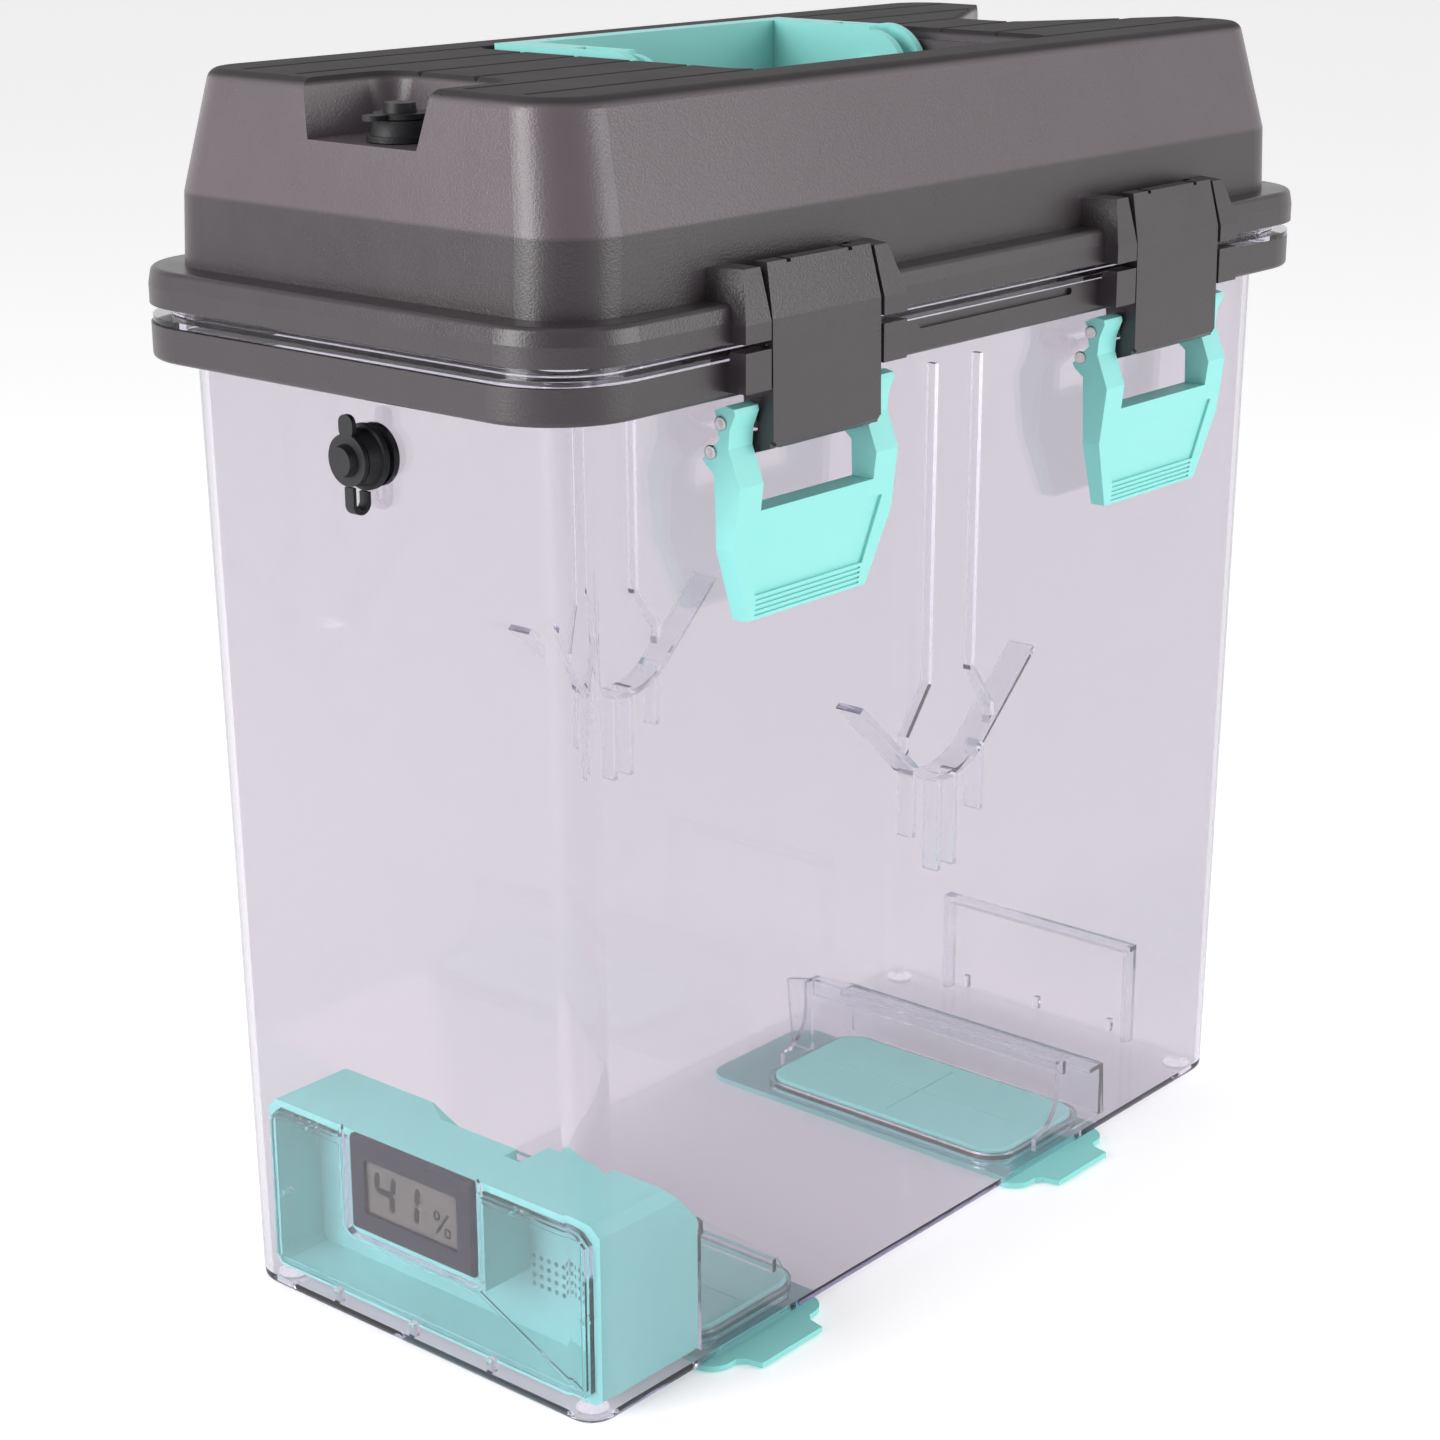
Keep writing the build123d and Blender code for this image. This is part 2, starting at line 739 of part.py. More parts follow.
# ---------------------------------------------------------------- filament outlets
def make_outlet_grommet(plane, wall_thickness):
    """Rubber grommet through a wall; the plane lies on the wall's outer face."""
    with BuildPart() as grommet:
        with BuildSketch(plane.offset(0.25)):
            Circle(8.4)
        extrude(amount=1.4)
        with BuildSketch(plane.offset(1.5)):
            Circle(7.4)
        extrude(amount=3.8, taper=12)
        with BuildSketch(plane.offset(-wall_thickness - 1.9)):
            Circle(5.8)
        extrude(amount=wall_thickness + 2.5)
        with BuildSketch(plane.offset(-wall_thickness - 0.35)):
            Circle(8.0)
        extrude(amount=-1.8)
        with BuildSketch(plane.offset(-wall_thickness - 3)):
            Circle(outlet_bore)
        extrude(amount=wall_thickness + 10, mode=Mode.SUBTRACT)
    return grommet


def make_outlet_plug(plane):
    """Push-in plug with a round cap and a thumb tab."""
    with BuildPart() as plug:
        with BuildSketch(plane.offset(5.6)):
            Circle(6.6)
            with Locations((0, 8.4)):
                RectangleRounded(5.0, 6.0, 2.2)
        extrude(amount=1.3)
        with BuildSketch(plane.offset(6.7)):
            Circle(4.2)
        extrude(amount=2.6, taper=10)
        with BuildSketch(plane.offset(-1.0)):
            Circle(outlet_bore - 0.3)
        extrude(amount=6.8)
    return plug


def make_outlet_strap(plane):
    """Flat strap that ties the plug to the grommet, bowed out to one side."""
    with BuildPart() as strap:
        with BuildSketch(Plane(origin=plane.origin, x_dir=plane.z_dir, z_dir=plane.x_dir).offset(-1.5)):
            with BuildLine():
                Polyline((0.7, 8.7), (0.7, 11.0))
                ThreePointArc((0.7, 11.0), (3.5, 14.2), (6.6, 11.0))
                Polyline((6.6, 11.0), (6.6, 6.9), (5.5, 6.9), (5.5, 11.0))
                ThreePointArc((5.5, 11.0), (3.6, 12.9), (1.8, 11.0))
                Polyline((1.8, 11.0), (1.8, 8.7), (0.7, 8.7))
            make_face()
        extrude(amount=3.0)
    return strap


# ---------------------------------------------------------------- humidity module
def module_outline(inset):
    """Corner points of the module's outline across the box, with its chamfered top."""
    half = module_half_width - inset
    low = module_bottom + inset
    high = module_top - inset
    return (
        (-half, low + 2),
        (-half + 2, low),
        (half - 2, low),
        (half, low + 2),
        (half, high - 3),
        (half - 3, high),
        (-half + 6, high),
        (-half + 3, high - 0.4),
        (-half, high - 3),
    )


def make_module_housing():
    depth = module_back - module_front
    with BuildPart() as module_housing:
        with BuildSketch(side_plane(module_front)):
            with BuildLine():
                Polyline(*module_outline(0), close=True)
            make_face()
        extrude(amount=depth)
        # sloped rear top edge
        with BuildSketch(front_plane(-80)):
            with BuildLine():
                Polyline(
                    (-117.5, module_top + 1),
                    (-117.5, module_top),
                    (-105.0, 44.0),
                    (-105.0, module_top + 1),
                    close=True,
                )
            make_face()
        extrude(amount=-160, mode=Mode.SUBTRACT)
        # set-back in the middle of the rear, with one deeper notch
        with BuildSketch(Plane.XY.offset(30.0)):
            with BuildLine():
                Polyline((-124.0, -20), (-124.0, 14), (-118.0, 24), (-100.0, 24), (-100.0, -20), close=True)
            make_face()
            with Locations((-114.5, -18.0)):
                Rectangle(29.0, 6.0)
        extrude(amount=40, mode=Mode.SUBTRACT)
        # two chambers, open to the front
        with BuildSketch(side_plane(module_front - 1)):
            with BuildLine():
                Polyline(*module_outline(2.0), close=True)
            make_face()
            with Locations((meter_y, meter_z + 5)):
                Rectangle(meter_length + 6, meter_height + 16, mode=Mode.SUBTRACT)
        extrude(amount=pocket_depth + 1, mode=Mode.SUBTRACT)
        # seat for the meter
        with BuildSketch(side_plane(module_front - 1)):
            with Locations((meter_y, meter_z)):
                Rectangle(46.8, 27.4)
        extrude(amount=14.5, mode=Mode.SUBTRACT)
        # air mesh at the back of the right-hand chamber, and the open space behind it
        with BuildSketch(side_plane(module_front + pocket_depth - 1)):
            with Locations((mesh_y, mesh_z)):
                with GridLocations(2.8, 2.8, 7, 4):
                    Circle(0.75)
        extrude(amount=6, mode=Mode.SUBTRACT)
        with BuildSketch(side_plane(module_front + pocket_depth + 1.6)):
            with Locations((mesh_y, mesh_z)):
                RectangleRounded(24.0, 16.0, 2.0)
        extrude(amount=40, mode=Mode.SUBTRACT)
    return module_housing


def make_module_cover():
    with BuildPart() as module_cover:
        with BuildSketch(side_plane(module_front - 1.7)):
            with BuildLine():
                Polyline(*module_outline(2.2), close=True)
            make_face()
        extrude(amount=1.6)
        # proud bead round the outline and round the meter opening
        with BuildSketch(side_plane(module_front - 2.5)):
            with BuildLine():
                Polyline(*module_outline(3.0), close=True)
            make_face()
            with Locations((0, (module_bottom + module_top) / 2)):
                Rectangle(
                    2 * (module_half_width - 4.4),
                    module_top - module_bottom - 8.8,
                    mode=Mode.SUBTRACT,
                )
        extrude(amount=1.0)
        with BuildSketch(side_plane(module_front - 2.5)):
            with Locations((meter_y, meter_z - 0.3)):
                RectangleRounded(meter_length + 7.2, meter_height + 6.4, 4)
        extrude(amount=1.0)
        # raised creases from the lower corners of the meter opening to the outline's corners
        with BuildSketch(side_plane(module_front - 2.1)):
            with BuildLine():
                Polyline((31.0, 28.0), (32.0, 27.0), (58.2, 9.6), (58.8, 10.6), close=True)
            make_face()
            with BuildLine():
                Polyline((-22.0, 27.0), (-21.4, 26.0), (-58.2, 9.4), (-58.8, 10.4), close=True)
            make_face()
        extrude(amount=1.0)
        # opening round the meter, open at the top
        with BuildSketch(side_plane(module_front - 3)):
            with Locations((meter_y, meter_z + 6)):
                RectangleRounded(meter_length + 4.4, meter_height + 16.5, 3)
        extrude(amount=6, mode=Mode.SUBTRACT)
        # corner locating pins
        with BuildSketch(side_plane(module_front - 0.2)):
            with Locations((46.0, module_top - 5.0), (-34.0, module_top - 5.0)):
                Circle(0.9)
            with Locations((57.5, 30.0), (-57.5, 30.0)):
                Circle(0.9)
        extrude(amount=3.0)
    return module_cover


def make_meter_case():
    with BuildPart() as meter_case:
        with BuildSketch(side_plane(module_front - 2.2)):
            with Locations((meter_y, meter_z)):
                RectangleRounded(meter_length, meter_height, 1.0)
        extrude(amount=2.1)
        chamfer(meter_case.faces().sort_by(Axis.X)[0].outer_wire().edges(), length=0.9)
        with BuildSketch(side_plane(module_front - 0.3)):
            with Locations((meter_y, meter_z)):
                Rectangle(46.2, 26.8)
        extrude(amount=12.8)
        # window recess and the hollow for board and cells
        with BuildSketch(side_plane(module_front - 2.3)):
            with Locations((meter_y, meter_z)):
                RectangleRounded(window_length, window_height, 0.8)
        extrude(amount=2.4, mode=Mode.SUBTRACT)
        with BuildSketch(side_plane(module_front + 3.5)):
            with Locations((meter_y, meter_z)):
                Rectangle(42.0, 23.0)
        extrude(amount=12.0, mode=Mode.SUBTRACT)
    return meter_case


def make_meter_display():
    with BuildPart() as meter_display:
        with BuildSketch(side_plane(module_front - 1.2)):
            with Locations((meter_y, meter_z)):
                RectangleRounded(window_length - 0.4, window_height - 0.4, 0.7)
        extrude(amount=1.2)
    return meter_display


def make_meter_board():
    with BuildPart() as meter_board:
        with BuildSketch(side_plane(module_front + 3.7)):
            with Locations((meter_y, meter_z)):
                Rectangle(41.4, 22.4)
        extrude(amount=1.2)
    return meter_board


def make_meter_cells():
    with BuildPart() as meter_cells:
        with BuildSketch(side_plane(module_front + 5.0)):
            with Locations((meter_y, meter_z)):
                with GridLocations(14.0, 1, 2, 1):
                    Circle(5.8)
        extrude(amount=5.4)
    return meter_cells


# ---------------------------------------------------------------- bottom hatches
def make_hatch(x):
    plug_length = hatch_length - 2 * hatch_gap
    plug_width = hatch_width - 2 * hatch_gap
    plug_corner = hatch_corner - hatch_gap
    with BuildPart() as hatch:
        with BuildSketch(Plane.XY.offset(0.5)):
            with Locations((x, hatch_flange_y)):
                RectangleRounded(hatch_flange_width, hatch_flange_length, 7.0)
            with BuildLine():
                Polyline(
                    (x - 18, -68),
                    (x - 14, -72),
                    (x - 13, -77),
                    (x + 13, -77),
                    (x + 14, -72),
                    (x + 18, -68),
                    close=True,
                )
            make_face()
        extrude(amount=1.7)
        with BuildSketch(Plane.XY.offset(2.0)):
            with Locations((x, hatch_y)):
                RectangleRounded(plug_width, plug_length, plug_corner)
        extrude(amount=7.2)
        chamfer(hatch.faces().sort_by(Axis.Z)[-1].outer_wire().edges(), length=0.6)
        # seal groove
        with BuildSketch(Plane.XY.offset(5.9)):
            with Locations((x, hatch_y)):
                RectangleRounded(plug_width + 1, plug_length + 1, plug_corner)
                RectangleRounded(plug_width - 4, plug_length - 4, plug_corner - 2, mode=Mode.SUBTRACT)
        extrude(amount=2.0, mode=Mode.SUBTRACT)
        # faint cross lines on the raised plate
        with BuildSketch(Plane.XY.offset(8.9)):
            with Locations((x, hatch_y)):
                Rectangle(0.6, plug_length - 8)
                Rectangle(plug_width - 8, 0.6)
        extrude(amount=1.0, mode=Mode.SUBTRACT)
        # hollow underside
        with BuildSketch(Plane.XY.offset(0.0)):
            with Locations((x, hatch_y)):
                RectangleRounded(plug_width - 9, plug_length - 9, 4)
        extrude(amount=5.0, mode=Mode.SUBTRACT)
    return hatch


def make_hatch_seal(x):
    with BuildPart() as hatch_seal:
        with BuildSketch(Plane.XY.offset(6.0)):
            with Locations((x, hatch_y)):
                RectangleRounded(hatch_width - 0.6, hatch_length - 0.6, hatch_corner - 0.3)
                RectangleRounded(hatch_width - 5, hatch_length - 5, hatch_corner - 2.5, mode=Mode.SUBTRACT)
        extrude(amount=1.8)
    return hatch_seal


# ---------------------------------------------------------------- clear inner frames
def make_near_guard():
    """Clear guard behind the module that bridges the near hatch."""
    base = floor_bottom + floor_thickness + 0.1
    with BuildPart() as near_guard:
        for y in guard_ends:
            with BuildSketch(front_plane(y)):
                with BuildLine():
                    Polyline(
                        (-105.0, base),
                        (-105.0, 45.6),
                        (-89.6, 33.7),
                        (-72.4, 20.6),
                        (-68.2, 13.6),
                        (-67.4, base),
                        close=True,
                    )
                make_face()
            extrude(amount=1.6)
        for x, z in ((-104.0, 42.0), (-73.0, 18.0)):
            with BuildSketch(front_plane(guard_ends[1])):
                with Locations((x, z)):
                    Rectangle(1.6, 4.0)
            extrude(amount=guard_ends[1] - guard_ends[0])
    return near_guard


def make_far_guard():
    """Clear guard over the far hatch: curved end plates, a low wall and its ledge."""
    base = floor_bottom + floor_thickness + 0.1
    with BuildPart() as far_guard:
        for y in guard_ends:
            with BuildSketch(front_plane(y)):
                with BuildLine():
                    Polyline((54.0, base), (54.0, 9.8))
                    ThreePointArc((54.0, 9.8), (62.6, 13.4), (66.2, 22.0))
                    Polyline((66.2, 22.0), (66.2, 31.6), (73.0, 31.6), (91.0, 23.0))
                    Polyline((91.0, 23.0), (92.0, base), (54.0, base))
                make_face()
            extrude(amount=1.6)
        with BuildSketch(front_plane(guard_ends[1])):
            with Locations((90.6, (base + 23.0) / 2)):
                Rectangle(1.6, 23.0 - base)
            with Locations((87.4, 22.2)):
                Rectangle(6.0, 1.6)
            with Locations((69.6, 29.0)):
                Rectangle(1.6, 5.0)
        extrude(amount=guard_ends[1] - guard_ends[0])
        # short wing beyond the inner end plate
        with BuildSketch(side_plane(68.8)):
            with BuildLine():
                Polyline((39.4, base), (39.4, 31.6), (50.0, 29.0), (47.6, base), close=True)
            make_face()
        extrude(amount=1.6)
    return far_guard


def make_far_bay():
    """Clear frame on the far end wall that takes a second humidity module."""
    base = floor_bottom + floor_thickness + 0.1
    with BuildPart() as far_bay:
        with BuildSketch(side_plane(146.0)):
            with BuildLine():
                Polyline(
                    (-38.5, base),
                    (-38.5, bay_top),
                    (38.5, bay_top),
                    (38.5, base),
                    (36.0, base),
                    (36.0, bay_top - 2.5),
                    (-36.0, bay_top - 2.5),
                    (-36.0, base),
                    close=True,
                )
            make_face()
        extrude(amount=-4.0)
    return far_bay


def make_spool_cradle(wall_side):
    """Ribs that take one end of a spool axle: two guides, a trough and four props."""
    slope = wall_side * bin_draft_width / 2 / (ledge_bottom - floor_bottom)
    floor_y = wall_side * (bin_size(0, wall)[1] / 2 - cradle_gap)
    wall_plane = Plane(origin=(0, floor_y, 0), x_dir=(1, 0, 0), z_dir=(0, -1, slope))
    with BuildPart() as cradle:
        with BuildSketch(wall_plane):
            for side in (-1, 1):
                with BuildLine():
                    Polyline(
                        (side * 9.2, guide_top),
                        (side * 9.2, 173.5),
                        (side * 19.2, 160.4),
                        (side * 19.2, 155.0),
                        (side * 21.2, 155.0),
                        (side * 21.2, 161.2),
                        (side * 11.2, 174.4),
                        (side * 11.2, guide_top),
                        close=True,
                    )
                make_face()
        extrude(amount=wall_side * 2.6)
        with BuildSketch(wall_plane):
            with BuildLine():
                Polyline((-40.0, 174.0), (-13.0, 149.6))
                ThreePointArc((-13.0, 149.6), (0, 145.6), (13.0, 149.6))
                Polyline((13.0, 149.6), (40.0, 174.0), (41.4, 172.6), (14.6, 148.0))
                ThreePointArc((14.6, 148.0), (0, 143.4), (-14.6, 148.0))
                Polyline((-14.6, 148.0), (-41.4, 172.6), (-40.0, 174.0))
            make_face()
        extrude(amount=wall_side * cradle_depth)
        with BuildSketch(wall_plane):
            for side in (-1, 1):
                for rib_x, low, high in ((3.7, 116.5, 144.6), (16.0, 130.0, 150.0)):
                    with Locations((side * rib_x, (low + high) / 2)):
                        Rectangle(1.8, high - low)
        extrude(amount=wall_side * 5.3)
    return cradle


# ---------------------------------------------------------------- write every piece
finish(make_clear_bin(), "clear_bin")
finish(make_rim_band(), "rim_band")
finish(make_lid_shell(), "lid_shell")
finish(make_lid_seal(), "lid_seal")
finish(make_hinge_pins(), "hinge_pins")
finish(make_pivot_pins(), "latch_pivot_pins")
for place, sign in (("near", -1), ("far", 1)):
    finish(make_link_pin(sign * latch_x), f"{place}_link_pin")
    finish(make_latch_lever(sign * latch_x), f"{place}_latch_lever")
    finish(make_hook_plate(sign * latch_x), f"{place}_hook_plate")
    finish(make_hatch(hatch_xs[place]), f"{place}_hatch")
    finish(make_hatch_seal(hatch_xs[place]), f"{place}_hatch_seal")
finish(make_near_guard(), "near_hatch_guard")
finish(make_far_guard(), "far_hatch_guard")
finish(make_far_bay(), "far_bay_frame")
finish(make_spool_cradle(-1), "front_spool_cradle")
finish(make_spool_cradle(1), "rear_spool_cradle")
finish(make_carry_handle(), "carry_handle")
finish(make_handle_pins(), "handle_pins")

lid_outlet_plane = Plane(origin=(lid_outlet_x, lid_outlet_y, notch_floor), x_dir=(0, 1, 0), z_dir=(0, 0, 1))
wall_outlet_x = -bin_size(wall_outlet_z)[0] / 2
wall_outlet_plane = Plane(origin=(wall_outlet_x, 0, wall_outlet_z), x_dir=(0, -1, 0), z_dir=(-1, 0, 0))
for place, plane in (("lid", lid_outlet_plane), ("wall", wall_outlet_plane)):
    finish(make_outlet_grommet(plane, lid_wall), f"{place}_outlet_grommet")
    finish(make_outlet_plug(plane), f"{place}_outlet_plug")
    finish(make_outlet_strap(plane), f"{place}_outlet_strap")

finish(make_module_housing(), "module_housing")
finish(make_module_cover(), "module_cover")
finish(make_meter_case(), "meter_case")
finish(make_meter_display(), "meter_display")
finish(make_meter_board(), "meter_board")
finish(make_meter_cells(), "meter_cells")
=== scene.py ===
import math

import bpy
from mathutils import Matrix, Vector


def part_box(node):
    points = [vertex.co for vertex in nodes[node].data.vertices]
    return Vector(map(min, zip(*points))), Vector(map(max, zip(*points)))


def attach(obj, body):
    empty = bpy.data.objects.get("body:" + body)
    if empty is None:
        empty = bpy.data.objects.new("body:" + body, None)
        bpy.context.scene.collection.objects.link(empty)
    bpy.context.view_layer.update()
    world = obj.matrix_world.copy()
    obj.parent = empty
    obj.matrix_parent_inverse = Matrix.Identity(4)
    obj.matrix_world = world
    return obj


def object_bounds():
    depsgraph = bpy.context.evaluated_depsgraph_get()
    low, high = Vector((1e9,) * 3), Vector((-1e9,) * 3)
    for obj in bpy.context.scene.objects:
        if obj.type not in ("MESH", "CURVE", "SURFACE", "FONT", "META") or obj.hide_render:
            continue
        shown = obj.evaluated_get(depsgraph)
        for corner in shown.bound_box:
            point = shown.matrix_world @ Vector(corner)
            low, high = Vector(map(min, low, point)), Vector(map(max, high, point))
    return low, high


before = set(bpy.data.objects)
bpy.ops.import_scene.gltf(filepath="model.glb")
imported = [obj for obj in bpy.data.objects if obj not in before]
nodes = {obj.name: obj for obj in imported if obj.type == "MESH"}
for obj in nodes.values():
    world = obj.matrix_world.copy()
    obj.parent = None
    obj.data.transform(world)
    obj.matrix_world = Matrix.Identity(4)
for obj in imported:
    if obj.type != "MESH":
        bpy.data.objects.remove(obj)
cadLow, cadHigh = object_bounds()
bpy.ops.object.select_all(action="DESELECT")
print("frame loaded")


# a shader node with its input values and its own settings
def addNode(tree, kind, values=None, **settings):
    node = tree.nodes.new(kind)
    for name, value in settings.items():
        setattr(node, name, value)
    for name, value in (values or {}).items():
        node.inputs[name].default_value = value
    return node


# an empty node group with its sockets, and the nodes that stand for its two ends
def newGroup(name, inputs, outputs):
    group = bpy.data.node_groups.new(name, "ShaderNodeTree")
    for label, kind, value in inputs:
        socket = group.interface.new_socket(label, in_out="INPUT", socket_type=kind)
        socket.default_value = value
    for label, kind in outputs:
        group.interface.new_socket(label, in_out="OUTPUT", socket_type=kind)
    return group, group.nodes.new("NodeGroupInput"), group.nodes.new("NodeGroupOutput")


# places a node group in a material with its own values
def placeGroup(tree, group, values):
    placed = tree.nodes.new("ShaderNodeGroup")
    placed.node_tree = group
    for name, value in values.items():
        placed.inputs[name].default_value = value
    return placed


# a new material, its node tree and its Principled shader; constants go straight on the shader
def newMaterial(name, **values):
    material = bpy.data.materials.new(name)
    material.use_nodes = True
    shader = material.node_tree.nodes["Principled BSDF"]
    for label, value in values.items():
        shader.inputs[label.replace("_", " ")].default_value = value
    return material, material.node_tree, shader


def useMaterial(material, *names):
    for name in names:
        mesh = nodes[name].data
        mesh.materials.clear()
        mesh.materials.append(material)


# grain, tone drift and handling marks shared by every moulded plastic and rubber
mouldedLook = {
    "driftScale": 9.0,
    "marksScale": 42.0,
    "marksDuller": 0.07,
    "marksShinier": -0.05,
    "grainDistance": 0.0004,
}


def makeMouldedGroup():
    group, source, result = newGroup(
        "mouldedSurface",
        [
            ("Base", "NodeSocketColor", (0.5, 0.5, 0.5, 1)),
            ("Drift", "NodeSocketFloat", 0.08),
            ("Grain Size", "NodeSocketFloat", 900.0),
            ("Grain Depth", "NodeSocketFloat", 0.12),
            ("Roughness", "NodeSocketFloat", 0.45),
        ],
        [
            ("Color", "NodeSocketColor"),
            ("Roughness", "NodeSocketFloat"),
            ("Normal", "NodeSocketVector"),
        ],
    )
    link = group.links.new
    place = addNode(group, "ShaderNodeTexCoord")
    # broad drift of the tone around its own level
    broad = addNode(
        group,
        "ShaderNodeTexNoise",
        {"Scale": mouldedLook["driftScale"], "Detail": 3.0, "Roughness": 0.55},
    )
    link(place.outputs["Object"], broad.inputs["Vector"])
    centred = addNode(group, "ShaderNodeMath", {1: 0.5}, operation="SUBTRACT")
    link(broad.outputs["Fac"], centred.inputs[0])
    scaled = addNode(group, "ShaderNodeMath", operation="MULTIPLY")
    link(centred.outputs[0], scaled.inputs[0])
    link(source.outputs["Drift"], scaled.inputs[1])
    level = addNode(group, "ShaderNodeMath", {1: 1.0}, operation="ADD")
    link(scaled.outputs[0], level.inputs[0])
    tone = addNode(group, "ShaderNodeMix", {"Factor": 1.0}, data_type="RGBA", blend_type="MULTIPLY")
    link(source.outputs["Base"], tone.inputs["A"])
    link(level.outputs[0], tone.inputs["B"])
    link(tone.outputs["Result"], result.inputs["Color"])
    # handling marks that dull or polish the surface a little
    marks = addNode(
        group,
        "ShaderNodeTexNoise",
        {"Scale": mouldedLook["marksScale"], "Detail": 5.0, "Roughness": 0.7},
    )
    link(place.outputs["Object"], marks.inputs["Vector"])
    spread = addNode(
        group,
        "ShaderNodeMapRange",
        {
            "From Min": 0.3,
            "From Max": 0.75,
            "To Min": mouldedLook["marksShinier"],
            "To Max": mouldedLook["marksDuller"],
        },
    )
    link(marks.outputs["Fac"], spread.inputs["Value"])
    rough = addNode(group, "ShaderNodeMath", operation="ADD", use_clamp=True)
    link(source.outputs["Roughness"], rough.inputs[0])
    link(spread.outputs["Result"], rough.inputs[1])
    link(rough.outputs[0], result.inputs["Roughness"])
    # fine spark-eroded grain
    grain = addNode(group, "ShaderNodeTexNoise", {"Detail": 2.0, "Roughness": 0.6})
    link(place.outputs["Object"], grain.inputs["Vector"])
    link(source.outputs["Grain Size"], grain.inputs["Scale"])
    bump = addNode(group, "ShaderNodeBump", {"Distance": mouldedLook["grainDistance"]})
    link(source.outputs["Grain Depth"], bump.inputs["Strength"])
    link(grain.outputs["Fac"], bump.inputs["Height"])
    link(bump.outputs["Normal"], result.inputs["Normal"])
    return group


# sparse hair-fine scratches and the slight flow waves of a polished clear wall
scratchLook = {
    "turn": (0.3, 0.5, 0.9),
    "stretch": (1, 1, 14),
    "scale": 55.0,
    "pickFrom": 0.62,
    "pickTo": 0.8,
    "flowScale": 16.0,
    "flowStrength": 0.02,
    "flowDistance": 0.002,
}


def makeScratchGroup():
    group, source, result = newGroup(
        "fineScratches",
        [("Base Roughness", "NodeSocketFloat", 0.03), ("Amount", "NodeSocketFloat", 0.06)],
        [("Roughness", "NodeSocketFloat"), ("Normal", "NodeSocketVector")],
    )
    link = group.links.new
    place = addNode(group, "ShaderNodeTexCoord")
    turned = addNode(
        group,
        "ShaderNodeMapping",
        {"Rotation": scratchLook["turn"], "Scale": scratchLook["stretch"]},
    )
    link(place.outputs["Object"], turned.inputs["Vector"])
    lines = addNode(
        group,
        "ShaderNodeTexNoise",
        {"Scale": scratchLook["scale"], "Detail": 6.0, "Roughness": 0.7},
    )
    link(turned.outputs["Vector"], lines.inputs["Vector"])
    picked = addNode(
        group,
        "ShaderNodeMapRange",
        {"From Min": scratchLook["pickFrom"], "From Max": scratchLook["pickTo"]},
    )
    link(lines.outputs["Fac"], picked.inputs["Value"])
    weighted = addNode(group, "ShaderNodeMath", operation="MULTIPLY")
    link(picked.outputs["Result"], weighted.inputs[0])
    link(source.outputs["Amount"], weighted.inputs[1])
    total = addNode(group, "ShaderNodeMath", operation="ADD")
    link(weighted.outputs[0], total.inputs[0])
    link(source.outputs["Base Roughness"], total.inputs[1])
    link(total.outputs[0], result.inputs["Roughness"])
    flow = addNode(group, "ShaderNodeTexNoise", {"Scale": scratchLook["flowScale"], "Detail": 1.0})
    link(place.outputs["Object"], flow.inputs["Vector"])
    bump = addNode(
        group,
        "ShaderNodeBump",
        {"Strength": scratchLook["flowStrength"], "Distance": scratchLook["flowDistance"]},
    )
    link(flow.outputs["Fac"], bump.inputs["Height"])
    link(bump.outputs["Normal"], result.inputs["Normal"])
    return group


mouldedGroup = makeMouldedGroup()
scratchGroup = makeScratchGroup()
print("surface groups made")


# gives a material the moulded surface with the tone, grain and roughness of one finish
def addMoulded(tree, shader, finish):
    surface = placeGroup(
        tree,
        mouldedGroup,
        {
            "Base": finish["base"],
            "Drift": finish["drift"],
            "Grain Size": finish["grainSize"],
            "Grain Depth": finish["grainDepth"],
            "Roughness": finish["roughness"],
        },
    )
    tree.links.new(surface.outputs["Color"], shader.inputs["Base Color"])
    tree.links.new(surface.outputs["Roughness"], shader.inputs["Roughness"])
    tree.links.new(surface.outputs["Normal"], shader.inputs["Normal"])
    return surface


def makeMouldedPlastic(name, finish):
    material, tree, shader = newMaterial(name, Specular_IOR_Level=finish["specular"])
    addMoulded(tree, shader, finish)
    return material


# lid, band and hook plates: warm dark grey plastic in three zones, one above another; the top zone
# is darkened with painted shade for the light that falls less on it
darkPlastic = {
    "smooth": (0.036, 0.029, 0.033, 1),  # all below the dome's kink
    "base": (0.086, 0.068, 0.077, 1),  # the textured sides of the dome above it
    "crownPaintedShade": (0.022, 0.018, 0.020, 1),  # the matt top of the dome, darker with painted shade
    "kinkHeight": 0.3134,
    "crownHeight": 0.3427,
    "softness": 0.0006,
    "specular": 0.5,
    "drift": 0.16,
    "grainSize": 1500.0,
    "grainDepth": 0.22,
    "roughness": 0.31,
    "crownRoughness": 0.8,
}


# a mask that rises from 0 to 1 as the surface passes one height
def addHeightStep(tree, height, level):
    step = addNode(
        tree,
        "ShaderNodeMapRange",
        {
            "From Min": level - darkPlastic["softness"],
            "From Max": level + darkPlastic["softness"],
        },
    )
    tree.links.new(height, step.inputs["Value"])
    return step.outputs["Result"]


